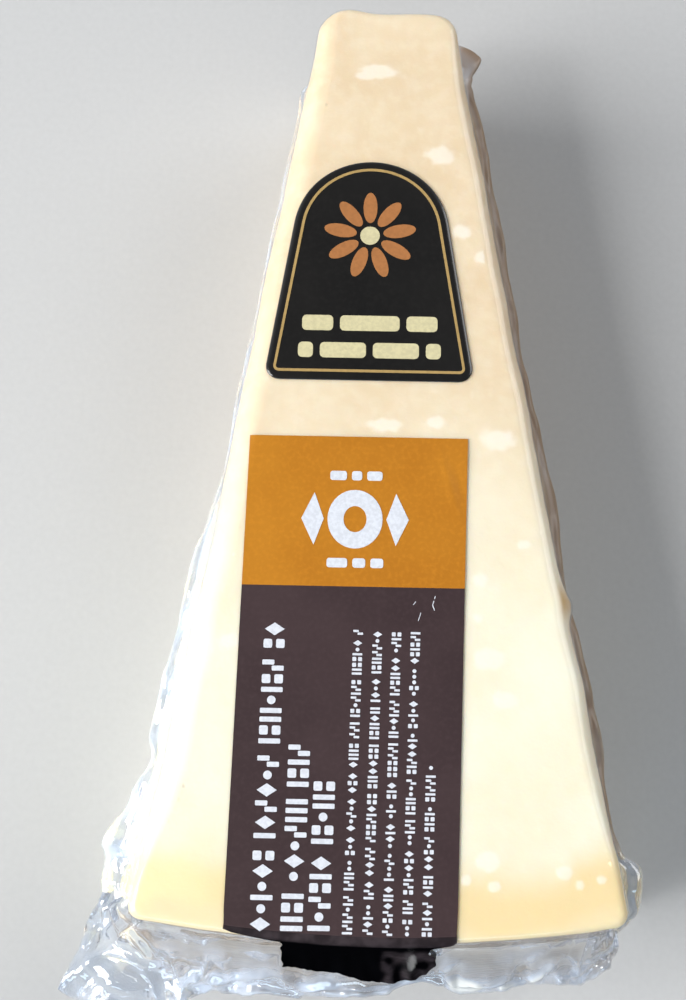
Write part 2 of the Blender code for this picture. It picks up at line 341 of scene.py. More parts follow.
def rangeNode(tree, source, low, high, outLow=0.0, outHigh=1.0):
    inputs = {"Value": source, "From Min": low, "From Max": high, "To Min": outLow, "To Max": outHigh}
    return addNode(tree, "ShaderNodeMapRange", inputs, interpolation_type="SMOOTHSTEP").outputs["Result"]


def mathNode(tree, operation, first, second):
    return addNode(tree, "ShaderNodeMath", {0: first, 1: second}, operation=operation).outputs["Value"]


def mixColour(tree, factor, first, second):
    # sockets 6, 7 and output 2 are the mix node's colours
    inputs = {0: factor, 6: first, 7: second}
    return addNode(tree, "ShaderNodeMix", inputs, data_type="RGBA").outputs[2]


def mixShaders(tree, factor, first, second):
    return addNode(tree, "ShaderNodeMixShader", {0: factor, 1: first, 2: second}).outputs["Shader"]


def bumpNode(tree, height, strength, distance):
    inputs = {"Height": height, "Strength": strength, "Distance": distance}
    return addNode(tree, "ShaderNodeBump", inputs).outputs["Normal"]


def attributeNode(tree, name):
    return addNode(tree, "ShaderNodeAttribute", attribute_name=name).outputs["Fac"]


def objectPlace(tree):
    return addNode(tree, "ShaderNodeTexCoord").outputs["Object"]


def wheelRadiusNode(tree, place):
    # distance from the wheel's axis
    kind = "ShaderNodeVectorMath"
    offset = addNode(tree, kind, {0: place, 1: world(0, 0, 0)}, operation="SUBTRACT").outputs["Vector"]
    flat = addNode(tree, kind, {0: offset, 1: (1, 1, 0)}, operation="MULTIPLY").outputs["Vector"]
    return addNode(tree, kind, {0: flat}, operation="LENGTH").outputs["Value"]


# Light, floor and camera

studio = {
    "floorColour": (0.50, 0.505, 0.51),
    "floorReach": 4.0,
    "horizonColour": (0.74, 0.78, 0.84),
    "zenithColour": (0.11, 0.115, 0.125),
    "farSideDim": 0.22,            # the horizon away from the window, as a share of its brightness
    "worldStrength": 1.0,
}

# Lamps: place, what they are aimed at, size, power, colour. The small spark lamp gives the film its gleams,
# and the low bluish one lights the rind.
lamps = {
    "windowLight": ((-1.15, -0.25, 0.80), (0, 0, 0.02), (0.9, 1.3), 30.0, (1.0, 0.985, 0.955)),
    "fillLight": ((0.9, 0.55, 0.9), (0, 0, 0), (0.8, 0.8), 7.0, (1, 1, 1)),
    "sparkLight": ((-0.62, -0.30, 0.95), (0, 0, 0.02), (0.10, 0.16), 1.6, (1, 1, 1)),
    "frontLight": ((-0.15, -1.20, 0.48), (0, -0.06, 0.02), (1.0, 0.4), 5.0, (0.68, 0.85, 1.0)),
}

cameraSetup = {
    "foot": (-4.73, -208.77),      # straight under the lens
    "height": 282.3,
    "pitch": math.radians(14.1),
    "turn": math.radians(1.1366),
    "focalPixels": 1594.0,         # for the picture's long side of 1000
    "longSide": 1000.0,
    "sensor": 36.0,
}


def aimedLight(name, place, target, size, power, colour):
    data = bpy.data.lights.new(name, "AREA")
    data.shape = "RECTANGLE"
    data.size, data.size_y = size
    data.energy = power
    data.color = colour
    light = addObject(name, data)
    light.location = place
    towards = Vector(target) - Vector(place)
    light.rotation_euler = towards.to_track_quat("-Z", "Y").to_euler()


def makeStudio():
    scene = bpy.context.scene
    scene.view_settings.view_transform = "Standard"
    skyWorld = bpy.data.worlds.new("softSky")
    skyWorld.use_nodes = True
    tree = skyWorld.node_tree
    direction = addNode(tree, "ShaderNodeTexCoord").outputs["Generated"]
    upwards = addNode(tree, "ShaderNodeSeparateXYZ", {0: direction}).outputs
    sideways = mathNode(tree, "MULTIPLY", upwards["X"], -0.75)
    backwards = mathNode(tree, "MULTIPLY", upwards["Y"], 0.66)
    towardsWindow = rangeNode(tree, mathNode(tree, "ADD", sideways, backwards), -0.7, 0.5)
    dimmed = tuple(value * studio["farSideDim"] for value in studio["horizonColour"])
    horizon = mixColour(tree, towardsWindow, dimmed, studio["horizonColour"])
    sky = mixColour(tree, rangeNode(tree, upwards["Z"], 0.1, 0.85), horizon, studio["zenithColour"])
    feed(tree, tree.nodes["Background"], {"Color": sky, "Strength": studio["worldStrength"]})
    scene.world = skyWorld
    for name, lamp in lamps.items():
        aimedLight(name, *lamp)

    material, tree, shader = newMaterial("paleFloor")
    speckle = noiseNode(tree, objectPlace(tree), 900.0, 3.0)
    dark, light = (tuple(value * share for value in studio["floorColour"]) for share in (0.95, 1.05))
    feed(tree, shader, {"Base Color": mixColour(tree, speckle, dark, light), "Roughness": 0.7})
    mesh = bpy.data.meshes.new("floor")
    reach = studio["floorReach"]
    corners = [(-reach, -reach, 0), (reach, -reach, 0), (reach, reach, 0), (-reach, reach, 0)]
    mesh.from_pydata(corners, [], [(0, 1, 2, 3)])
    mesh.materials.append(material)
    floor = addObject("floor", mesh)


def makeCamera():
    data = bpy.data.cameras.new("photoCamera")
    data.sensor_width = cameraSetup["sensor"]
    data.lens = cameraSetup["focalPixels"] / cameraSetup["longSide"] * cameraSetup["sensor"]
    data.clip_start = 0.01
    camera = addObject("photoCamera", data)
    camera.location = world(*cameraSetup["foot"], cameraSetup["height"])
    camera.rotation_euler = (cameraSetup["pitch"], 0, cameraSetup["turn"])
    bpy.context.scene.camera = camera


makeStudio()
makeCamera()
print("studio and camera ready")


# The cheese inside the film

cheese = {
    "inset": 0.14,                 # under the film at the cut sides
    "topInset": 0.15,
    "sideStep": 1.1,
    "rindStep": 0.9,
    "cornerSteps": 10,
    "topSpacing": 0.55,
    "wallSteps": 34,
    "grain": 0.12,                 # depth of the cut's grain
    "rindBulge": 0.6,
    "baseHeight": 0.2,
    "narrowPale": (0.80, 0.66, 0.46),
    "narrowStraw": (0.75, 0.59, 0.39),
    # painted light: the wide end's colours are paler and whiter, standing in for the window's glare there
    "glarePale": (0.89, 0.85, 0.69),
    "glareStraw": (0.86, 0.79, 0.60),
    "rindBand": (0.84, 0.67, 0.37),
    "rindBandLeft": (0.86, 0.78, 0.46),
    "rindEdge": (0.85, 0.71, 0.44),
    # painted shade: the darker tan of the shaded right edge
    "shadeTan": (0.58, 0.36, 0.13),
    "speck": (0.92, 0.86, 0.70),
    "crystal": (0.94, 0.88, 0.78),
    "flecks": 70,
}

# White crystals that show on the upper face: x, y, half width, half height
crystals = (
    (-1.5, -73.5, 3.4, 1.4), (-3.6, -74.4, 1.8, 0.8), (9.0, -88.7, 2.6, 1.8), (12.6, -102.2, 1.7, 1.3),
    (16.2, -106.6, 1.6, 1.2), (0.5, -135.5, 3.0, 1.2), (8.6, -134.9, 1.7, 1.1), (18.4, -137.6, 3.0, 1.9),
    (22.4, -154.6, 1.2, 0.8), (15.6, -160.3, 1.3, 1.2), (15.2, -166.2, 0.8, 0.8), (-22.8, -170.4, 1.6, 1.3),
    (16.9, -172.5, 2.7, 1.8), (19.3, -178.8, 2.0, 1.5), (16.8, -202.8, 1.9, 1.7), (13.4, -205.6, 0.9, 0.9),
    (17.5, -206.4, 1.1, 0.9), (28.0, -204.2, 1.3, 1.2), (30.3, -205.9, 0.7, 0.7), (33.4, -205.0, 0.8, 0.7),
)


def crystalAt(x, y, spots):
    best = 0.0
    for centreX, centreY, wide, tall in spots:
        if abs(x - centreX) > wide * 1.6 or abs(y - centreY) > tall * 1.6:
            continue
        ragged = 0.28 * noiseAt(x * 0.9 + centreX, y * 0.9, 5)
        away = math.hypot((x - centreX) / wide, (y - centreY) / tall) + ragged
        best = max(best, 1 - smooth((away - 0.45) / 0.85))
    return best


def cheeseColumn(station):
    # one section of the cheese, from the rim of its top over the wall to the rim of its base
    x, y, angle, place, _ = station
    rounding = tableAt(edgeRoundings, place) - 0.2
    top = wedge["thickness"] - cheese["topInset"]
    across, along = math.cos(angle), math.sin(angle)
    rind = rindShare(place)
    grain = (1 - 0.6 * rind) * cheese["grain"]
    column = []

    def edge(outward, height):
        rough = noiseAt(x * 0.35, y * 0.35, height * 0.35)
        rough += 0.6 * noiseAt(x * 0.9, y * 0.9, height * 0.9 + 4)
        fade = smooth((top + 0.6 - height) / 2.5)
        bulge = cheese["rindBulge"] * rind * math.sin(math.pi * min(max(height / top, 0), 1))
        relief = cutRelief(x + across * outward, y + along * outward, height, rind)
        reach = outward - cheese["inset"] + bulge + relief + grain * fade * (rough - 0.5)
        column.append((x + across * reach, y + along * reach, height))

    for step in range(7):
        turn = 0.5 * math.pi * step / 6
        edge(rounding * (math.sin(turn) - 1), top - rounding * (1 - math.cos(turn)))
    rounded = wedge["baseRounding"]
    low = cheese["baseHeight"] + rounded
    for step in range(1, cheese["wallSteps"] + 1):
        edge(0, lerp(top - rounding, low, step / cheese["wallSteps"]))
    for step in range(1, 4):
        turn = 0.5 * math.pi * step / 3
        edge(rounded * (math.cos(turn) - 1), low - rounded * math.sin(turn))
    return column


def cheeseMaterial():
    material, tree, shader = newMaterial("agedCheese")
    place = objectPlace(tree)
    wavy = rangeNode(tree, noiseNode(tree, place, 70.0, 2.0), 0.3, 0.7, -0.0018, 0.0018)
    distance = mathNode(tree, "ADD", wheelRadiusNode(tree, place), wavy)
    clouds = rangeNode(tree, noiseNode(tree, place, 55.0, 3.0, 0.55), 0.35, 0.72)
    narrow = mixColour(tree, clouds, cheese["narrowStraw"], cheese["narrowPale"])
    # painted light: towards the wide end the cheese turns paler, standing in for the window's glare
    wide = mixColour(tree, clouds, cheese["glareStraw"], cheese["glarePale"])
    body = mixColour(tree, rangeNode(tree, distance, 0.115, 0.175), narrow, wide)
    fine = noiseNode(tree, place, 420.0, 3.0, 0.6)
    body = mixColour(tree, rangeNode(tree, fine, 0.35, 0.75, 0.0, 0.22), body, cheese["speck"])
    sideways = addNode(tree, "ShaderNodeSeparateXYZ", {0: place}).outputs["X"]
    fromLeft = rangeNode(tree, sideways, world(-31, 0, 0)[0], world(-19, 0, 0)[0])
    band = mixColour(tree, fromLeft, cheese["rindBandLeft"], cheese["rindBand"])
    body = mixColour(tree, rangeNode(tree, distance, 0.2015, 0.2090), body, band)
    body = mixColour(tree, rangeNode(tree, distance, 0.2110, 0.2145), body, cheese["rindEdge"])
    white = rangeNode(tree, attributeNode(tree, "crystal"), 0.05, 0.9, 0.0, 0.6)
    body = mixColour(tree, white, body, cheese["crystal"])
    # painted shade: the right edge and its lump darkened to tan
    body = mixColour(tree, attributeNode(tree, "tan"), body, cheese["shadeTan"])
    feed(tree, shader, {
        "Base Color": body,
        "Roughness": 0.42,
        "Subsurface Weight": 0.18,
        "Subsurface Radius": (0.006, 0.0035, 0.0015),
        "Subsurface Scale": 0.6,
        "Normal": bumpNode(tree, fine, 0.12, 0.0006),
    })
    return material


def rindMaterial():
    material, tree, shader = newMaterial("goldenRind")
    place = objectPlace(tree)
    patches = rangeNode(tree, noiseNode(tree, place, 90.0, 4.0, 0.6), 0.35, 0.7)
    body = mixColour(tree, patches, (0.27, 0.19, 0.12), (0.42, 0.32, 0.21))
    inputs = {"Vector": place, "Scale": 160.0, "Distortion": 3.0, "Detail": 3.0}
    grooves = addNode(tree, "ShaderNodeTexWave", inputs, bands_direction="Z").outputs["Fac"]
    body = mixColour(tree, rangeNode(tree, grooves, 0.2, 0.9, 0.0, 0.25), body, (0.22, 0.15, 0.09))
    grooved = bumpNode(tree, grooves, 0.35, 0.0005)
    feed(tree, shader, {"Base Color": body, "Roughness": 0.5, "Normal": grooved})
    return material


def edgeShadeAt(x, y, ring, place):
    # painted shade: how far the cheese is darkened to tan along its shaded right edge and on the lump there
    lumpY, _, lumpWide = wedge["lump"][:3]
    narrow = smooth((y + 110) / 25)
    depth = smooth((ring - 2.5) / 3) * (1 - smooth((ring - 9) / 8))
    edge = lerp(0.55, 0.85, narrow) * depth * smooth(lerp(0.6, 0.9, narrow) + noiseAt(x / 9, y / 9, 21))
    lump = smooth((ring - 1.0) / 2) * (1 - smooth((ring - 7) / 6))
    lump *= math.exp(-((y - lumpY) / lumpWide) ** 2)
    return max(edge, 0.9 * lump) * rightShare(place)


def makeCheese():
    stations = stationsRound(cheese["sideStep"], cheese["rindStep"], cheese["cornerSteps"])
    columns = [cheeseColumn(station) for station in stations]
    rings = len(columns[0])
    draw = random.Random(31)
    limits = (-34, 34), (-206, -66), (0.4, 1.1), (0.4, 0.9)
    flecks = [tuple(draw.uniform(*pair) for pair in limits) for _ in range(cheese["flecks"])]
    points, crystal, tan = [], [], []
    for ring in range(rings):
        for column, station in zip(columns, stations):
            x, y, z = column[ring]
            spot = noiseAt(x * 0.45, y * 0.45, z * 0.45)
            points.append((x, y, z))
            crystal.append(smooth((spot - 0.32) / 0.2) * 0.8 * smooth((ring - 2) / 6))
            tan.append(edgeShadeAt(x, y, ring, station[3]))
    top = wedge["thickness"] - cheese["topInset"]
    inner, cap = evenCap([column[0][:2] for column in columns], cheese["topSpacing"])
    for x, y in inner:
        value = max(crystalAt(x, y, crystals), 0.3 * crystalAt(x, y, flecks))
        points.append((x, y, top + 0.05 * value + 0.04 * noiseAt(x / 7, y / 7, 2)))
        crystal.append(value)
        tan.append(0.0)
    faces = closedLoft(rings, len(columns), cap)
    slots = []
    for face in faces:
        middle = [points[index] for index in face[:4]]
        radius = sum(math.hypot(point[0], point[1]) for point in middle) / len(middle)
        height = sum(point[2] for point in middle) / len(middle)
        onRind = radius > wedge["wheelRadius"] - 0.9 and height < wedge["thickness"] - 1.2
        slots.append(int(onRind and len(face) == 4))
    piece = meshPiece("cheeseWedge", points, faces, [cheeseMaterial(), rindMaterial()], slots)
    setAttribute(piece, "crystal", crystal)
    # the tan attribute carries the painted shade of the right edge
    setAttribute(piece, "tan", tan)
    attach(piece, "root")
    return piece


cheesePiece = makeCheese()
print("cheese:", len(cheesePiece.data.polygons), "faces")


# The clear film

film = {
    "seamThickness": 1.0,
    "crumpleThickens": 0.55,
    "foldLength": 7.5,
    "scallop": 0.10,
    "lowestFold": 0.8,
    "sideStep": 0.8,
    "rindStep": 0.36,
    "cornerSteps": 40,
    "filletSteps": 6,
    "webSteps": 44,
    "rimSteps": 7,
    "undersideSteps": 14,
    "baseSteps": 4,
    "ridgeHeight": 0.55,           # thick welded ridges in the crumpled seam
    "ridgeLength": 6.5,
    "ridgeWidth": 3.3,
    "fineRidge": 0.24,
    "pleat": 0.30,
    "foldHeight": 1.0,
    "foldWidth": 0.85,
    "ridgeHaze": 0.05,
    "rimHaze": 0.08,
    "foldHaze": 0.32,
    "leftHaze": 0.40,
    "rightHaze": 0.70,
    "rindHaze": 0.30,
    "capSpacing": 0.9,
    "wallWrinkle": 0.16,
    "glassTint": (0.80, 0.86, 0.95),
    "milkTint": (0.58, 0.67, 0.82),
    # painted highlight: the milkiest film turns this white, for glare
    "glareWhite": (0.90, 0.92, 0.90),
    # painted reflection: the right strip is painted brown for the shaded cheese side it mirrors
    "reflectionBrown": (0.30, 0.19, 0.11),
}

# The seam flange: place round the wedge, reach beyond the wall, height, how much it is crumpled.
# Place 0 is the narrow end's middle, 1 its left corner, 2 and 3 the rind's corners, 4 the right corner.
flange = (
    (0.000, 4.0, 15, 0.8), (0.800, 2.6, 15, 0.9), (1.000, 2.2, 15, 0.9), (1.020, 3.4, 16, 0.6),
    (1.060, 3.0, 16, 0.6), (1.500, 2.9, 16, 0.7), (1.650, 5.0, 16, 1.3), (1.810, 5.5, 16, 1.6),
    (1.840, 4.3, 16, 1.6), (1.880, 6.3, 16, 2.4), (1.935, 8.4, 15, 3.2), (1.952, 7.7, 14, 3.2),
    (1.988, 6.8, 13, 3.0), (1.996, 11.2, 12, 3.6), (2.003, 18.6, 11, 4.4), (2.014, 17.2, 11, 4.4),
    (2.030, 14.6, 11, 4.2), (2.090, 12.4, 12, 3.8), (2.180, 9.6, 14, 3.0), (2.300, 8.8, 15, 1.8),
    (2.460, 8.0, 16, 1.4), (2.620, 6.6, 16, 1.4), (2.700, 7.8, 15, 3.2), (2.860, 8.2, 15, 3.6),
    (2.960, 7.8, 14, 3.4), (2.974, 7.4, 14, 2.6), (2.981, 6.5, 14, 2.4), (2.988, 5.2, 14, 2.2),
    (3.001, 3.2, 15, 1.6), (3.006, 4.4, 15, 1.6), (3.010, 6.0, 15, 1.8), (3.049, 7.0, 15, 2.0),
    (3.068, 4.4, 16, 1.6), (3.100, 4.0, 16, 1.4), (3.136, 3.7, 16, 1.3), (3.188, 4.8, 16, 1.3),
    (3.240, 4.7, 16, 1.2), (3.300, 4.4, 16, 1.2), (3.350, 4.3, 16, 1.2), (3.450, 5.3, 16, 1.0),
    (3.550, 4.5, 16, 1.0), (3.610, 4.6, 16, 1.0), (3.710, 5.1, 16, 1.0), (3.870, 4.8, 16, 1.0),
    (3.930, 5.2, 16, 1.0), (3.980, 4.5, 15, 1.0), (3.989, 4.7, 15, 0.8), (3.993, 5.6, 15, 0.6),
    (3.998, 9.3, 15, 0.6), (4.090, 9.1, 15, 0.6), (4.300, 4.2, 15, 0.8), (5.000, 4.0, 15, 0.8),
)


def flangeAt(place):
    for before, after in zip(flange, flange[1:]):
        if place <= after[0]:
            part = smooth((place - before[0]) / (after[0] - before[0]))
            return [lerp(low, high, part) for low, high in zip(before[1:], after[1:])]
    return list(flange[-1][1:])


def bend(start, control, end, part):
    keep = (1 - part) ** 2
    pull = 2 * part * (1 - part)
    return tuple(a * keep + b * pull + c * part ** 2 for a, b, c in zip(start, control, end))


def filmSection(place):
    # distance beyond the wall and height, from the top face round the flange to the base
    reach, seam, crumple = flangeAt(place)
    rounding = tableAt(edgeRoundings, place)
    rind = rindShare(place)
    half = (film["seamThickness"] + film["crumpleThickens"] * crumple) / 2
    top = wedge["thickness"]
    quarter = 0.5 * math.pi
    outline = []
    for step in range(film["filletSteps"]):
        turn = quarter * step / film["filletSteps"]
        outline.append((rounding * (math.sin(turn) - 1), top - rounding * (1 - math.cos(turn))))
    control = (lerp(0.3, 2.0, rind), seam + lerp(1.2, 7.0, rind))
    rimTop = (reach - half, seam + half)
    for step in range(film["webSteps"]):
        outline.append(bend((0, top - rounding), control, rimTop, step / film["webSteps"]))
    for step in range(film["rimSteps"] + 1):
        turn = math.pi * (0.5 - step / film["rimSteps"])
        outline.append((reach - half + half * math.cos(turn), seam + half * math.sin(turn)))
    under = (lerp(0.3, 1.0, rind), seam - lerp(1.5, 3.0, rind))
    for step in range(1, film["undersideSteps"] + 1):
        part = step / film["undersideSteps"]
        outline.append(bend((reach - half, seam - half), under, (0, 0.3 * seam), part))
    rounded = wedge["baseRounding"]
    for step in range(film["baseSteps"] + 1):
        turn = quarter * step / film["baseSteps"]
        outline.append((rounded * (math.cos(turn) - 1), rounded * (1 - math.sin(turn))))
    return outline


def topWave(x, y):
    # the film's faint unevenness over the flat cut
    wave = 0.045 * noiseAt(x / 9, y / 9, 1) + 0.02 * noiseAt(x / 3, y / 3, 6)
    for startX, startY, endX, endY, height in creases:
        runX, runY = endX - startX, endY - startY
        length = math.hypot(runX, runY)
        part = ((x - startX) * runX + (y - startY) * runY) / length ** 2
        if 0 < part < 1:
            away = abs((x - startX) * runY - (y - startY) * runX) / length
            wave += height * math.exp(-(away / 0.45) ** 2) * math.sin(math.pi * part)
    return wave


def topSurface(x, y):
    # the film's height over the upper face, with its rounded left edge
    inwards = x * math.cos(wedge["halfAngle"]) - y * math.sin(wedge["halfAngle"])
    radius = wedge["broadRounding"]
    past = min(max(radius - inwards, 0.0), radius)
    return wedge["thickness"] + topWave(x, y) - radius + math.sqrt(radius ** 2 - past ** 2)


# Creases in the printed film: start, end, height
creases = (
    (9.0, -138.5, 12.5, -152.0, 0.10), (11.5, -141.0, 13.4, -149.0, -0.08),
    (10.5, -158.0, 7.5, -161.0, 0.09), (6.0, -161.5, 12.0, -166.5, 0.08),
    (-18.0, -196.0, -10.0, -199.5, 0.07), (-20.5, -178.0, -13.0, -181.0, 0.06),
    (2.0, -196.0, 11.0, -203.0, 0.05), (-12.0, -186.0, -6.0, -183.0, 0.05),
)


# Folds of the crumpled flange: start, end, height, half width, milkiness. The three with milkiness of 1.8
# and more are painted white on the film as glare highlights.
folds = (
    (-40.7, -193.3, -42.2, -198.3, 0.8, 0.8, 0.5), (-42.2, -198.3, -43.7, -201.2, 0.9, 0.8, 0.5),
    (-43.7, -201.2, -43.1, -209.2, 1.0, 1.1, 0.7), (-42.1, -201.5, -41.5, -208.6, 0.6, 0.8, 0.5),
    (-40.4, -210.2, -34.3, -215.6, 0.7, 0.6, 0.45), (-34.3, -215.6, -27.2, -217.6, 0.9, 0.8, 0.8),
    (-39.3, -212.9, -35.5, -217.2, 0.6, 0.5, 0.35), (-42.4, -210.2, -39.3, -214.1, 0.6, 0.5, 0.3),
    (-45.0, -212.7, -46.6, -216.6, 0.7, 0.6, 0.5), (-43.5, -213.3, -43.3, -217.3, 0.7, 0.6, 0.5),
    (-45.8, -218.5, -41.5, -217.0, 0.8, 0.8, 0.5), (-41.5, -217.0, -37.4, -218.3, 0.8, 0.8, 0.6),
    (-37.4, -218.3, -34.8, -221.8, 0.8, 0.8, 0.5), (-34.8, -221.8, -34.1, -225.5, 0.8, 0.8, 0.5),
    (-48.9, -221.3, -46.8, -224.5, 0.7, 0.8, 0.6), (-46.8, -224.5, -43.5, -226.0, 0.7, 0.8, 0.5),
    (-30.6, -225.4, -29.8, -221.7, 0.9, 0.7, 0.6), (-29.8, -221.7, -26.8, -220.1, 0.9, 0.7, 0.7),
    (-26.8, -220.1, -25.6, -217.5, 0.9, 0.7, 0.6), (-25.6, -217.5, -22.6, -216.9, 0.8, 0.8, 0.6),
    (-26.7, -222.9, -22.4, -220.5, 0.7, 0.8, 0.5), (-22.4, -220.5, -14.1, -219.6, 0.8, 0.9, 0.6),
    (-14.1, -219.6, -14.0, -216.4, 0.7, 0.6, 0.5), (-22.6, -215.7, -14.8, -215.8, 0.5, 1.6, 0.45),
    (-26.0, -224.1, -17.5, -222.7, 0.6, 0.7, 0.5), (-17.5, -222.7, -11.4, -223.5, 0.6, 0.7, 0.5),
    (-14.0, -219.9, -11.1, -222.0, 1.0, 1.1, 0.5), (-11.1, -222.0, -4.1, -222.5, 1.1, 1.4, 0.5),
    (-4.1, -222.5, 2.8, -222.3, 0.9, 1.0, 0.6), (2.8, -222.3, 12.8, -221.0, 0.5, 0.6, 0.5),
    (13.3, -221.0, 16.4, -221.0, 1.1, 1.6, 2.4), (11.2, -218.7, 13.6, -217.3, 0.5, 0.5, 0.5),
    (14.7, -217.0, 15.7, -219.3, 0.4, 0.4, 0.3), (19.2, -215.9, 19.7, -218.3, 0.35, 0.4, 0.3),
    (21.2, -218.5, 26.5, -215.3, 0.5, 0.45, 0.5), (20.5, -221.3, 24.1, -220.5, 0.9, 0.8, 2.0),
    (24.1, -220.5, 27.0, -218.7, 0.9, 0.9, 1.8), (27.0, -218.7, 28.6, -216.4, 0.8, 0.8, 0.6),
    (28.3, -216.8, 30.1, -215.6, 0.7, 0.6, 0.6), (30.1, -215.6, 32.7, -216.6, 0.7, 0.6, 0.6),
    (32.7, -216.6, 33.3, -218.8, 0.7, 0.6, 0.6), (33.3, -218.8, 30.5, -220.1, 0.8, 0.7, 0.6),
    (34.1, -216.7, 36.4, -215.8, 0.7, 0.6, 0.6), (36.4, -215.8, 38.3, -216.8, 0.7, 0.6, 0.7),
    (38.3, -216.8, 37.0, -218.2, 0.7, 0.6, 0.6), (32.6, -220.0, 35.4, -220.9, 0.7, 0.8, 0.5),
    (35.4, -220.9, 37.6, -219.2, 0.7, 0.8, 0.5), (40.2, -212.9, 38.8, -217.0, 0.5, 0.5, 0.4),
    (38.8, -217.0, 36.3, -220.0, 0.5, 0.5, 0.4), (42.0, -199.5, 43.8, -204.6, 0.6, 0.7, 0.35),
    (43.8, -204.6, 42.9, -208.7, 0.6, 0.7, 0.35),
    (1.6, -218.0, 2.6, -218.9, 0.8, 1.2, 0.2), (5.4, -217.6, 5.9, -218.6, 1.3, 1.2, 0.2),
    (8.2, -218.0, 8.8, -219.0, 0.8, 0.8, 0.2), (17.2, -219.8, 18.0, -219.4, 1.7, 2.9, 0.5),
)

# Clear hollows between the folds: x, y, half width, half height, depth
pockets = (
    (-39.7, -201.7, 1.2, 2.9, 0.5), (-44.9, -215.5, 0.8, 1.9, 0.5), (-32.7, -221.0, 1.5, 4.1, 0.6),
    (-42.6, -221.5, 1.4, 1.2, 0.3), (23.6, -218.7, 1.4, 1.9, 0.5), (-25.2, -224.7, 1.4, 1.0, 0.4),
)


def foldsAt(x, y):
    # how far the folds raise the film here, and how milky they make it
    raised, milky = 0.0, 0.0
    for startX, startY, endX, endY, height, wide, haze in folds:
        runX, runY = endX - startX, endY - startY
        part = ((x - startX) * runX + (y - startY) * runY) / (runX ** 2 + runY ** 2)
        part = min(max(part, 0.0), 1.0)
        away = math.hypot(x - startX - runX * part, y - startY - runY * part) / (wide * film["foldWidth"])
        if away < 3:
            share = math.exp(-away ** 1.6)
            raised = max(raised, height * share)
            milky = max(milky, haze * share)
    for middleX, middleY, wide, tall, depth in pockets:
        away = math.hypot((x - middleX) / wide, (y - middleY) / tall)
        if away < 2:
            share = math.exp(-away ** 4)
            raised = lerp(raised, -depth, share)
            milky = lerp(milky, -0.3, share)
    return raised, milky


def voronoiRidge(x, y, z, wide=0.34):
    distances, _ = noise.voronoi(Vector((x, y, z)))
    return 1 - smooth((distances[1] - distances[0]) / wide)


def filmColumn(station):
    # displaced points of one section, their outward directions and how hazy each is
    x, y, angle, place, travelled = station
    reach, seam, crumple = flangeAt(place)
    rind = rindShare(place)
    across, along = math.cos(angle), math.sin(angle)
    outline = filmSection(place)
    quiet = smooth(travelled / 4) * smooth((totalRound - travelled) / 4)
    fold = film["foldLength"]
    ripple = noiseAt(x / fold + 7, y / fold, angle)
    hasFolds = rind > 0.5 or crumple > 1.5
    onLeft = smooth((place - 1.05) / 0.1) * (1 - smooth((place - 1.93) / 0.05))
    onRight = rightShare(place)
    found = []
    for index, (spotOut, spotUp) in enumerate(outline):
        before = outline[max(index - 1, 0)]
        after = outline[min(index + 1, len(outline) - 1)]
        tangent = (after[0] - before[0], after[1] - before[1])
        size = math.hypot(*tangent) or 1
        outward = (-tangent[1] / size, tangent[0] / size)
        out = max(spotOut, 0) / reach
        flatX, flatY = x + across * spotOut, y + along * spotOut
        relief = cutRelief(flatX, flatY, spotUp, rind)
        distance = spotOut + relief + film["scallop"] * reach * out * ripple
        flatX, flatY = x + across * distance, y + along * distance
        lift = 1.5 * noiseAt(flatX / fold, flatY / fold, 3)
        lift += 0.6 * noiseAt(flatX * 2.1 / fold, flatY * 2.1 / fold, 9)
        height = spotUp + crumple * out ** 1.5 * lift
        loose = smooth((out - 0.12) / 0.4) * quiet
        rough = crumple / 3
        longer = 1 + onLeft + onRight
        acrossRidges = distance / film["ridgeWidth"] + spotUp / 9
        ridge = voronoiRidge(travelled / film["ridgeLength"] / longer, acrossRidges, 2)
        fine = voronoiRidge(travelled / 2.4 / longer + 5, distance / 1.8 + spotUp / 5, 7, 0.45)
        pleat = film["pleat"] * noiseAt(travelled / 2.2, out * 1.6, 4)
        folded, milky = foldsAt(flatX, flatY) if hasFolds and spotUp > seam else (0.0, 0.0)
        creased = film["ridgeHeight"] * ridge + film["fineRidge"] * fine + pleat
        creased *= (1 - 0.5 * smooth((out - 0.8) / 0.2)) * (1 - 0.65 * onRight)
        raised = loose * rough * creased + smooth((out - 0.05) / 0.2) * quiet * film["foldHeight"] * folded
        clinging = (1 - loose) * smooth((wedge["thickness"] - 2.5 - spotUp) / 10)
        taut = max(0.0, noiseAt(travelled / 2.4, spotUp / 26, 8))
        raised += film["wallWrinkle"] * clinging * taut * (1 + 2 * rind)
        distance += outward[0] * raised
        height += outward[1] * raised
        height = max(height, film["lowestFold"] if out > 0.05 else 0.0)
        streak = smooth(0.5 + 1.6 * noiseAt(travelled / 7, out * 3.5, 11))
        haze = film["ridgeHaze"] * ridge + film["rimHaze"] * smooth((out - 0.85) / 0.15)
        haze += film["foldHaze"] * milky + film["leftHaze"] * onLeft * streak
        # the right strip is made milky so that its painted brown reflection shows
        above = smooth((spotUp - seam + 2.0) / 2.0)
        strip = onRight * above * smooth((out - 0.30) / 0.25)
        haze = loose * haze + film["rightHaze"] * strip * lerp(0.7, 1.0, streak)
        haze += film["rindHaze"] * rind * smooth(out / 0.3) * lerp(0.4, 1.2, streak)
        haze = min(max(haze, 0.0), 1.0)
        spot = (x + across * distance, y + along * distance, height)
        direction = (outward[0] * across, outward[0] * along, outward[1])
        found.append((spot, direction, haze, out, onRight))
    return found


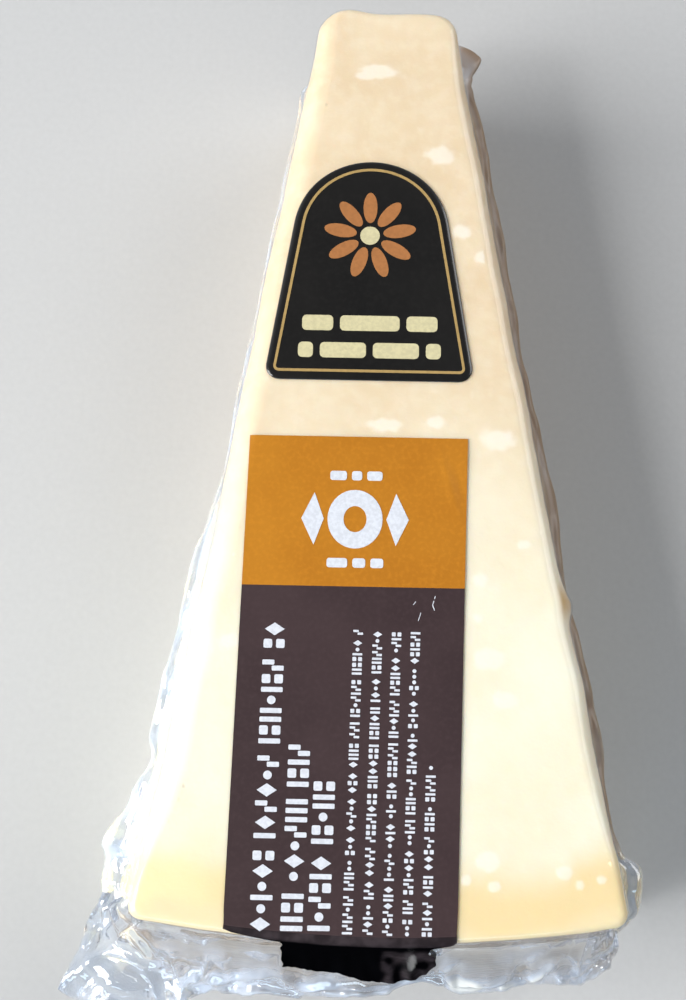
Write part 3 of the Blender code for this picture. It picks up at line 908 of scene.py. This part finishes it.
def clearFilmMaterial():
    # film lying on the cheese: seen only by its gloss
    material, tree, shader = newMaterial("clingingFilm")
    tree.nodes.remove(shader)
    clear = addNode(tree, "ShaderNodeBsdfTransparent").outputs["BSDF"]
    wrinkles = bumpNode(tree, noiseNode(tree, objectPlace(tree), 160.0, 2.0), 0.12, 0.0004)
    gloss = addNode(tree, "ShaderNodeBsdfGlossy", {"Roughness": 0.09, "Normal": wrinkles}).outputs["BSDF"]
    edge = addNode(tree, "ShaderNodeFresnel", {"IOR": 1.45}).outputs["Fac"]
    outside = mathNode(tree, "SUBTRACT", 1.0, addNode(tree, "ShaderNodeNewGeometry").outputs["Backfacing"])
    shine = mathNode(tree, "MULTIPLY", edge, outside)
    feed(tree, tree.nodes["Material Output"], {"Surface": mixShaders(tree, shine, clear, gloss)})
    return material


def thickFilmMaterial(name, roughness, coat):
    # crumpled and welded film: clear like glass, milky on its ridges
    material, tree, glass = newMaterial(name)
    haze = attributeNode(tree, "haze")
    # painted highlight: white where the film is milkiest
    tint = mixColour(tree, rangeNode(tree, haze, 0.45, 0.85), film["milkTint"], film["glareWhite"])
    # painted reflection: brown on the right strip, for the shaded cheese it mirrors
    tint = mixColour(tree, attributeNode(tree, "warm"), tint, film["reflectionBrown"])
    feed(tree, glass, {"Base Color": film["glassTint"], "Roughness": roughness})
    feed(tree, glass, {"IOR": 1.42, "Transmission Weight": 1.0})
    milky = addNode(tree, "ShaderNodeBsdfPrincipled", {"Base Color": tint, "Roughness": 0.07 + roughness})
    for layer in (glass, milky):
        feed(tree, layer, {"Coat Weight": coat, "Coat IOR": 1.8, "Coat Roughness": 0.03})
    hazed = mixShaders(tree, haze, glass.outputs["BSDF"], milky.outputs["BSDF"])
    clear = addNode(tree, "ShaderNodeBsdfTransparent").outputs["BSDF"]
    shadow = addNode(tree, "ShaderNodeLightPath").outputs["Is Shadow Ray"]
    feed(tree, tree.nodes["Material Output"], {"Surface": mixShaders(tree, shadow, hazed, clear)})
    return material


totalRound = sum(length for _, length in wedgeStretches())


def makeFilm():
    stations = stationsRound(film["sideStep"], film["rindStep"], film["cornerSteps"])
    columns = [filmColumn(station) for station in stations]
    rings = len(columns[0])
    points, haze, outs, warm = [], [], [], []
    for ring in range(rings):
        for column in columns:
            (x, y, z), _, hazy, out, brown = column[ring]
            points.append((x, y, z + topWave(x, y) if ring == 0 else z))
            haze.append(hazy)
            outs.append(out)
            warm.append(brown)
    inner, cap = evenCap([column[0][0][:2] for column in columns], film["capSpacing"])
    points += [(x, y, wedge["thickness"] + topWave(x, y)) for x, y in inner]
    for values in (haze, outs, warm):
        values += [0.0] * len(inner)
    faces = closedLoft(rings, len(columns), cap)
    slots = []
    for face in faces:
        thick = min(outs[index] for index in face[:4]) > 0.10
        slots.append(0 if not thick else 2 if warm[face[0]] > 0.6 else 1)
    # the third material is the right strip's painted brown reflection, matte
    materials = [clearFilmMaterial(), thickFilmMaterial("crumpledFilm", 0.03, 1.0),
                 thickFilmMaterial("reflectionBrownFilm", 0.30, 0.0)]
    piece = meshPiece("clearFilm", points, faces, materials, slots)
    setAttribute(piece, "haze", haze)
    # warm marks where the film is painted brown as a reflection of the shaded cheese
    setAttribute(piece, "warm", warm)
    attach(piece, "root")
    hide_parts("sealed_pack")
    return piece


filmPiece = makeFilm()
print("film:", len(filmPiece.data.polygons), "faces")


# The printed fields

printing = {
    "lift": 0.10,                  # above the film
    "wrapLift": 0.35,
    "wrapLeft": 8.6,               # how much the fold over the rind's edge covers at the left
    "sheet": 0.04,
    "width": 34.5,
    "centreX": -3.6,
    "startY": -137.6,
    "splitY": -161.7,
    "skew": 0.0197,
    "grid": 0.5,
    "wrapRows": 44,
    "dullFrom": 1,                 # rows over the edge before the ink stops shining
    "shadeFrom": 6,                # and before the ink is painted black as shade
    "creasedFrom": 0.9,            # the place across where it is creased and painted with a brown sheen
    "glossyLump": (6.0, -217.9, 0.62, 1.25),       # its lump that shines: x, y, half width, half height
    "ochre": ((0.44, 0.160, 0.008), (0.50, 0.195, 0.012)),
    "brown": ((0.040, 0.023, 0.025), (0.052, 0.031, 0.033)),
    # the ink's own dull brown on the edge, and a painted sheen on the creases
    "edgeAndSheenBrown": ((0.023, 0.018, 0.020), (0.046, 0.036, 0.040)),
    # painted shade: the ink that turns away from the light, drawn black
    "shadeBlack": (0.0015, 0.0015, 0.002),
}

# The part over the rind, painted black as shade: its right end, as cover down its length, and how far its
# foot stands out
wrapRightEnd = (
    (0.0, 2.4), (0.12, 2.4), (0.22, 3.7), (0.36, 3.8), (0.50, 2.6), (0.68, 2.3), (0.80, 3.6), (0.88, 4.2),
    (1.0, 5.2),
)
wrapFoot = ((0.0, 3.6), (0.25, 4.0), (0.48, 4.6), (0.64, 5.8), (0.86, 6.8), (1.0, 7.2))


def printMaterial(name, colour, second, roughness, coat):
    material, tree, shader = newMaterial(name)
    place = objectPlace(tree)
    blotch = rangeNode(tree, noiseNode(tree, place, 45.0, 3.0, 0.6), 0.35, 0.7)
    fine = rangeNode(tree, noiseNode(tree, place, 1400.0, 2.0), 0.4, 0.8, 0.0, 0.35)
    lighter = tuple(min(1.0, value * 1.25 + 0.004) for value in second)
    feed(tree, shader, {
        "Base Color": mixColour(tree, fine, mixColour(tree, blotch, colour, second), lighter),
        "Roughness": roughness,
        "Coat Weight": coat,
        "Coat Roughness": 0.08,
        "Normal": bumpNode(tree, noiseNode(tree, place, 260.0, 2.0), 0.08, 0.0004),
    })
    return material


def wrapMaterial():
    # the ink over the rind: painted black as shade, its own dull brown on the edge, a painted brown sheen
    # in its creases, shining only on one lump
    material, tree, shader = newMaterial("shadedWrap")
    creased = noiseNode(tree, objectPlace(tree), 420.0, 2.0)
    brown = mixColour(tree, rangeNode(tree, creased, 0.35, 0.7), *printing["edgeAndSheenBrown"])
    feed(tree, shader, {
        "Base Color": mixColour(tree, attributeNode(tree, "creased"), printing["shadeBlack"], brown),
        "Roughness": 0.20,
        "Specular IOR Level": 0.0,
        "Coat Weight": attributeNode(tree, "shine"),
        "Coat IOR": 2.4,
        "Coat Roughness": 0.10,
        "Normal": bumpNode(tree, creased, 0.25, 0.0005),
    })
    return material


def panelSpot(across, y):
    return printing["centreX"] + across * printing["width"] + printing["skew"] * (y - printing["startY"])


def gridPiece(name, rows, materials, slotAt=lambda row, column: 0):
    # a thin closed sheet over rows of upper and lower points
    columns = len(rows[0])
    points = [upper for row in rows for upper, _ in row] + [lower for row in rows for _, lower in row]
    under = len(rows) * columns
    faces = []
    slots = []
    for row in range(len(rows) - 1):
        for column in range(columns - 1):
            slot = slotAt(row, column)
            first = row * columns + column
            quad = (first, first + columns, first + columns + 1, first + 1)
            faces.append(quad)
            faces.append(tuple(index + under for index in reversed(quad)))
            slots += [slot, slot]
    rim = [row * columns for row in range(len(rows))]
    rim += [(len(rows) - 1) * columns + column for column in range(1, columns)]
    rim += [row * columns + columns - 1 for row in range(len(rows) - 2, -1, -1)]
    rim += list(range(columns - 2, 0, -1))
    for here, there in zip(rim, rim[1:] + rim[:1]):
        faces.append((there, here, here + under, there + under))
        slots.append(slotAt(min(here, there) // columns, min(here, there) % columns))
    piece = meshPiece(name, points, faces, materials, slots)
    piece.data.set_sharp_from_angle(angle=math.radians(50))
    return piece


def flatSheetRows(startY, endY):
    rows = []
    columns = round(printing["width"] / printing["grid"])
    count = max(2, round((startY - endY) / printing["grid"]))
    for step in range(count + 1):
        y = lerp(startY, endY, step / count)
        row = []
        for column in range(columns + 1):
            x = panelSpot(column / columns - 0.5, y)
            z = topSurface(x, y) + printing["lift"]
            row.append(((x, y, z + printing["sheet"]), (x, y, z)))
        rows.append(row)
    return rows


def rindLine(endX):
    # the film's section where it crosses the rind at endX
    cornerAngle = rindCornerAngle()
    angle = 1.5 * math.pi + math.asin(endX / wedge["wheelRadius"])
    place = 2.5 + 0.5 * (angle - 1.5 * math.pi) / cornerAngle
    x, y = math.cos(angle) * wedge["wheelRadius"], math.sin(angle) * wedge["wheelRadius"]
    startOfRind = sum(length for _, length in wedgeStretches()[:4])
    travelled = startOfRind + (angle - 1.5 * math.pi + cornerAngle) * wedge["wheelRadius"]
    return filmColumn((x, y, angle, place, travelled))


def wrapRows():
    # the lower panel turns over the rind's edge and follows the film down to the flange, narrower there
    columns = round(printing["width"] / printing["grid"])
    ends = [panelSpot(column / columns - 0.5, -wedge["wheelRadius"]) for column in range(columns + 1)]
    lines = [rindLine(endX) for endX in ends]
    lastStep = film["filletSteps"] + film["webSteps"] - 1
    feet = []
    for column, line in enumerate(lines):
        foot = tableAt(wrapFoot, column / columns)
        reached = [index for index, spot in enumerate(line[:lastStep])
                   if math.hypot(spot[0][0], spot[0][1]) < wedge["wheelRadius"] + foot]
        feet.append(reached[-1])
    rowCount = printing["wrapRows"]
    rows = []
    for step in range(rowCount + 1):
        narrowed = smooth((step - 3) / 4)
        leftEnd = (printing["wrapLeft"] + 0.5 * noiseAt(step / 9, 2)) / printing["width"] * narrowed
        rightEnd = tableAt(wrapRightEnd, step / rowCount) / printing["width"] * narrowed
        row = []
        for column in range(columns + 1):
            across = lerp(leftEnd, 1 - rightEnd, column / columns)
            side = min(int(across * columns), columns - 1)
            part = across * columns - side
            position = lerp(feet[side], feet[side + 1], part) * step / rowCount
            index = int(position)
            low = printing["lift"] + printing["wrapLift"] * min(1, step / 6)
            found = []
            for kind in (0, 1):        # the spot, then the way out of the film there
                left, right = [
                    Vector(line[index][kind]).lerp(Vector(line[index + 1][kind]), position - index)
                    for line in lines[side:side + 2]
                ]
                found.append(left.lerp(right, part))
            spot, out = found
            row.append((tuple(spot + out * (low + printing["sheet"])), tuple(spot + out * low)))
        rows.append(row)
    return rows


def makePanels():
    ochre = printMaterial("ochrePrint", *printing["ochre"], 0.32, 0.25)
    brown = printMaterial("brownPrint", *printing["brown"], 0.32, 0.4)
    upper = gridPiece("upperPanel", flatSheetRows(printing["startY"], printing["splitY"]), [ochre])
    edgeY = -(wedge["wheelRadius"] - 5.0)
    flatRows = flatSheetRows(printing["splitY"], edgeY)
    rows = flatRows + wrapRows()
    shadeFrom = len(flatRows) + printing["shadeFrom"]
    dullFrom = len(flatRows) + printing["dullFrom"]
    materials = [brown, wrapMaterial()]
    lower = gridPiece("lowerPanel", rows, materials, lambda row, column: int(row >= dullFrom))

    creased, shine = [], []
    lumpX, lumpY, lumpWide, lumpTall = printing["glossyLump"]
    for row, spots in enumerate(rows):
        for (x, y, _), _ in spots:
            # creased mask: the ink's brown on the edge rows, a painted sheen on the creases lower down,
            # painted black shade elsewhere
            ragged = 1.1 * noiseAt(x / 2, y / 2, 3)
            folded = smooth((x - printing["creasedFrom"] + ragged) / 1.2)
            folded *= smooth((row - shadeFrom - 3) / 6)
            onEdge = 1 - smooth((row - shadeFrom + 1.5) / 1.5)
            creased.append(max(onEdge, folded * smooth(0.55 + 1.4 * noiseAt(x / 1.6, y / 1.6, 6))))
            away = math.hypot((x - lumpX) / lumpWide, (y - lumpY) / lumpTall)
            faint = 0.10 * smooth((3.0 - away) / 2.0) * smooth((lumpX + 0.5 - x) / 1.5)
            shine.append(max(1 - smooth((away - 0.7) / 0.6), faint))
    setAttribute(lower, "creased", creased * 2)
    setAttribute(lower, "shine", shine * 2)
    panels = (upper, "upper_panel", "ochre_print"), (lower, "lower_panel", "brown_print")
    for piece, node, slotName in panels:
        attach(piece, "root")
        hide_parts(node)


makePanels()
print("printed panels ready")


# Simple shapes in place of the print's marks

def roundedBar(x, y, wide, tall, radius=None):
    radius = min(wide, tall) / 2 if radius is None else radius
    rim = []
    for cornerX, cornerY, first in ((1, 1, 0.0), (-1, 1, 0.5), (-1, -1, 1.0), (1, -1, 1.5)):
        for step in range(5):
            angle = math.pi * (first + 0.125 * step)
            spot = (x + cornerX * (wide / 2 - radius) + math.cos(angle) * radius,
                    y + cornerY * (tall / 2 - radius) + math.sin(angle) * radius)
            if not rim or math.dist(spot, rim[-1]) > 0.001:
                rim.append(spot)
    if math.dist(rim[0], rim[-1]) < 0.001:
        rim.pop()
    return rim


def ellipse(x, y, wide, tall, steps, turn=0.0):
    rim = []
    for step in range(steps):
        angle = 2 * math.pi * step / steps
        along, over = math.cos(angle) * wide / 2, math.sin(angle) * tall / 2
        rim.append((x + along * math.cos(turn) - over * math.sin(turn),
                    y + along * math.sin(turn) + over * math.cos(turn)))
    return rim


def addWall(built, lower, upper):
    for index in range(len(lower)):
        after = (index + 1) % len(lower)
        built.faces.new((lower[index], lower[after], upper[after], upper[index]))


def addPrism(built, rim, low, high):
    # a flat mark: rim points anticlockwise, lying on the film's waves
    lower = [built.verts.new(world(x, y, topSurface(x, y) + low)) for x, y in rim]
    upper = [built.verts.new(world(x, y, topSurface(x, y) + high)) for x, y in rim]
    built.faces.new(upper)
    built.faces.new(list(reversed(lower)))
    addWall(built, lower, upper)


def addRing(built, outer, inner, low, high):
    loops = []
    for rim, level in ((outer, low), (outer, high), (inner, high), (inner, low)):
        loops.append([built.verts.new(world(x, y, topSurface(x, y) + level)) for x, y in rim])
    for loop, following in zip(loops, loops[1:] + loops[:1]):
        addWall(built, loop, following)


def finishMarks(name, built, material):
    bmesh.ops.recalc_face_normals(built, faces=built.faces)
    mesh = bpy.data.meshes.new(name)
    built.to_mesh(mesh)
    built.free()
    mesh.materials.append(material)
    piece = addObject(name, mesh)
    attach(piece, "root")


def inkMaterial(name, colour):
    material, tree, shader = newMaterial(name)
    grain = rangeNode(tree, noiseNode(tree, objectPlace(tree), 1800.0, 2.0), 0.3, 0.7)
    darker = tuple(value * 0.86 for value in colour)
    feed(tree, shader, {"Base Color": mixColour(tree, grain, colour, darker), "Roughness": 0.35})
    feed(tree, shader, {"Coat Weight": 0.5, "Coat Roughness": 0.1})
    return material


panelMarks = {
    "inkLow": 0.14,
    "inkHigh": 0.19,
    "heavyRows": ((-16.4, -167.5, -213.4), (-11.8, -183.9, -213.3), (-7.8, -189.1, -213.2)),
    "heavyTall": 3.3,
    "thinRows": ((-3.6, -168.2, -213.6), (-0.6, -168.1, -213.6), (2.3, -168.0, -213.7),
                 (5.2, -167.1, -213.7), (8.1, -188.0, -213.7)),
    "thinTall": 1.5,
    # painted highlights: short pale strokes for the film's glints
    "paintedGlints": ((8.6, -163.0, 8.2, -164.4, 0.12), (8.2, -164.4, 8.5, -165.2, 0.14),
                  (6.4, -165.6, 6.0, -166.9, 0.10), (5.6, -163.9, 5.2, -164.4, 0.10)),
    "barsMiddle": -3.9,
    "bars": ((-144.0, (2.6, 1.6, 2.4)), (-158.0, (3.2, 2.0, 2.0))),     # y and widths
    "barShape": (0.8, 1.5, 0.4),         # gap, height, corner
    "emblem": (-4.0, -151.0),
    "ring": (8.6, 9.4),
    "hole": (3.6, 4.2),
    "diamond": (4.9, 6.4, 8.4, 4.2),     # where it starts, its middle, its tip, half height
    "ink": (0.72, 0.75, 0.82),
}


def addBars(built, middle, y, widths, gap, tall, corner, low, high):
    # a centred row of rounded bars
    x = middle - (sum(widths) + gap * (len(widths) - 1)) / 2
    for wide in widths:
        addPrism(built, roundedBar(x + wide / 2, y, wide, tall, corner), low, high)
        x += wide + gap


def patternCell(kind, x, y, tall):
    # one small motif of a row that runs along Y: its rims, and how far it reaches along the row
    stroke = 0.23 * tall
    if kind == "post":
        return [roundedBar(x, y + stroke / 2, tall, stroke, 0.2 * stroke)], stroke
    if kind == "pair":
        rims = [roundedBar(x + side * 0.29 * tall, y + 0.21 * tall, 0.40 * tall, 0.42 * tall, 0.08 * tall)
                for side in (-1, 1)]
        return rims, 0.42 * tall
    if kind == "gem":
        wide, long = 0.46 * tall, 0.30 * tall
        middle = y + long
        return [[(x + wide, middle), (x, middle + long), (x - wide, middle), (x, middle - long)]], 2 * long
    if kind == "stair":
        rims = [roundedBar(x + 0.22 * tall, y + stroke / 2, 0.56 * tall, stroke, 0.2 * stroke),
                roundedBar(x - 0.22 * tall, y + 1.7 * stroke, 0.56 * tall, stroke, 0.2 * stroke)]
        return rims, 2.2 * stroke
    return [roundedBar(x, y + 0.2 * tall, 0.40 * tall, 0.40 * tall, 0.2 * tall)], 0.40 * tall


def panelX(x, y):
    return x + printing["skew"] * (y + 190.0)


def makePanelMarks():
    built = bmesh.new()
    draw = random.Random(12)
    low, high = panelMarks["inkLow"], panelMarks["inkHigh"]
    kinds = ("post", "pair", "gem", "stair", "post", "dot")
    for rows, tall in ((panelMarks["heavyRows"], panelMarks["heavyTall"]),
                       (panelMarks["thinRows"], panelMarks["thinTall"])):
        for x, startY, endY in rows:
            y = endY
            left = draw.randint(3, 8)
            while y < startY - 0.6 * tall:
                rims, reach = patternCell(draw.choice(kinds), panelX(x, y), y, tall)
                for rim in rims:
                    addPrism(built, rim, low, high)
                left -= 1
                y += reach + (0.55 if left == 0 else 0.17) * tall
                left = left or draw.randint(3, 8)
    # the film's glints, painted as pale strokes
    for startX, startY, endX, endY, wide in panelMarks["paintedGlints"]:
        run = math.hypot(endX - startX, endY - startY)
        sideX, sideY = (startY - endY) / run * wide / 2, (endX - startX) / run * wide / 2
        rim = [(startX - sideX, startY - sideY), (endX - sideX, endY - sideY),
               (endX + sideX, endY + sideY), (startX + sideX, startY + sideY)]
        addPrism(built, rim, low, high)
    for y, widths in panelMarks["bars"]:
        addBars(built, panelMarks["barsMiddle"], y, widths, *panelMarks["barShape"], low, high)
    x, y = panelMarks["emblem"]
    outer, inner = ellipse(x, y, *panelMarks["ring"], 36), ellipse(x, y, *panelMarks["hole"], 36)
    addRing(built, outer, inner, low, high)
    start, middle, tip, half = panelMarks["diamond"]
    for side in (-1, 1):
        rim = [(x + side * tip, y), (x + side * middle, y + half), (x + side * start, y),
               (x + side * middle, y - half)]
        addPrism(built, rim if side < 0 else rim[::-1], low, high)
    finishMarks("paleMarks", built, inkMaterial("paleInk", panelMarks["ink"]))


makePanelMarks()
print("panel marks ready")


badge = {
    "centreX": -2.2,
    "topY": -90.2,
    "archRadius": 12.8,
    "footWidth": 33.4,
    "height": 38.0,
    "corner": 2.2,
    "bevel": 0.9,
    "thick": 0.28,
    "line": 0.45,
    "lineInset": 1.3,
    "petals": 9,
    "petalAway": 4.9,
    "petalSize": (5.4, 2.3),
    "flowerShift": (-0.2, -0.4),   # of the flower, from the arch's middle
    "flowerMiddle": 3.2,
    "bars": ((9.6, (5.0, 9.6, 5.0)), (5.0, (2.4, 7.4, 7.4, 2.4))),     # height above the foot and widths
    "barShape": (1.1, 2.6, 0.7),   # gap, height, corner
    "inkLow": 0.005,               # above the plaque
    "inkHigh": 0.045,
    "black": ((0.006, 0.0055, 0.005), (0.010, 0.009, 0.008)),
    "gold": (0.45, 0.30, 0.11),
    "warm": (0.42, 0.17, 0.055),
    "cream": (0.66, 0.60, 0.36),
}


def archOutline(inset):
    radius = badge["archRadius"] - inset
    centreY = badge["topY"] - badge["archRadius"]
    footY = badge["topY"] - badge["height"] + inset
    spread = badge["footWidth"] / 2 - badge["archRadius"]
    flare = math.atan2(spread, badge["height"] - badge["archRadius"])
    rim = []
    for step in range(41):
        angle = lerp(flare, math.pi - flare, step / 40)
        rim.append((badge["centreX"] + math.cos(angle) * radius, centreY + math.sin(angle) * radius))
    corner = max(badge["corner"] - inset, 0.4)
    down = 1.5 * math.pi
    for side, first, last in ((-1, math.pi - flare, down), (1, down, 2 * math.pi + flare)):
        inwards = badge["footWidth"] / 2 - inset - corner * (1 + math.tan(flare / 2))
        for step in range(7):
            angle = lerp(first, last, step / 6)
            rim.append((badge["centreX"] + side * inwards + math.cos(angle) * corner,
                        footY + corner + math.sin(angle) * corner))
    return rim


def makeBadge():
    thick, bevel = badge["thick"], badge["bevel"]
    levels = []
    for step in range(6):
        turn = 0.5 * math.pi * step / 5
        levels.append((bevel * (1 - math.sin(turn)), thick * (0.25 + 0.75 * math.cos(turn))))
    levels.append((0.0, 0.02))
    count = len(archOutline(0.0))
    points = [(x, y, topSurface(x, y) + level) for inset, level in levels for x, y in archOutline(inset)]
    faces = closedLoft(len(levels), count, [range(count)])
    material = printMaterial("blackPrint", *badge["black"], 0.22, 0.6)
    plaque = meshPiece("archedBadge", points, faces, [material])
    plaque.data.set_sharp_from_angle(angle=math.radians(40))
    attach(plaque, "root")
    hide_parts("badge")

    low, high = thick + badge["inkLow"], thick + badge["inkHigh"]
    gold = bmesh.new()
    outer = archOutline(badge["lineInset"])
    inner = archOutline(badge["lineInset"] + badge["line"])
    addRing(gold, outer, inner, low, high)
    finishMarks("badgeLine", gold, inkMaterial("goldInk", badge["gold"]))

    centreX = badge["centreX"] + badge["flowerShift"][0]
    centreY = badge["topY"] - badge["archRadius"] + badge["flowerShift"][1]
    away = badge["petalAway"]
    petals = bmesh.new()
    for index in range(badge["petals"]):
        turn = 2 * math.pi * index / badge["petals"] + math.pi / 2
        petalX, petalY = centreX + math.cos(turn) * away, centreY + math.sin(turn) * away
        addPrism(petals, ellipse(petalX, petalY, *badge["petalSize"], 20, turn), low, high)
    finishMarks("badgePetals", petals, inkMaterial("warmInk", badge["warm"]))
    cream = bmesh.new()
    middle = badge["flowerMiddle"]
    addPrism(cream, ellipse(centreX, centreY, middle, middle, 24), low, high)
    for height, widths in badge["bars"]:
        y = badge["topY"] - badge["height"] + height
        addBars(cream, badge["centreX"], y, widths, *badge["barShape"], low, high)
    finishMarks("badgeCream", cream, inkMaterial("creamInk", badge["cream"]))


makeBadge()
print("badge ready")
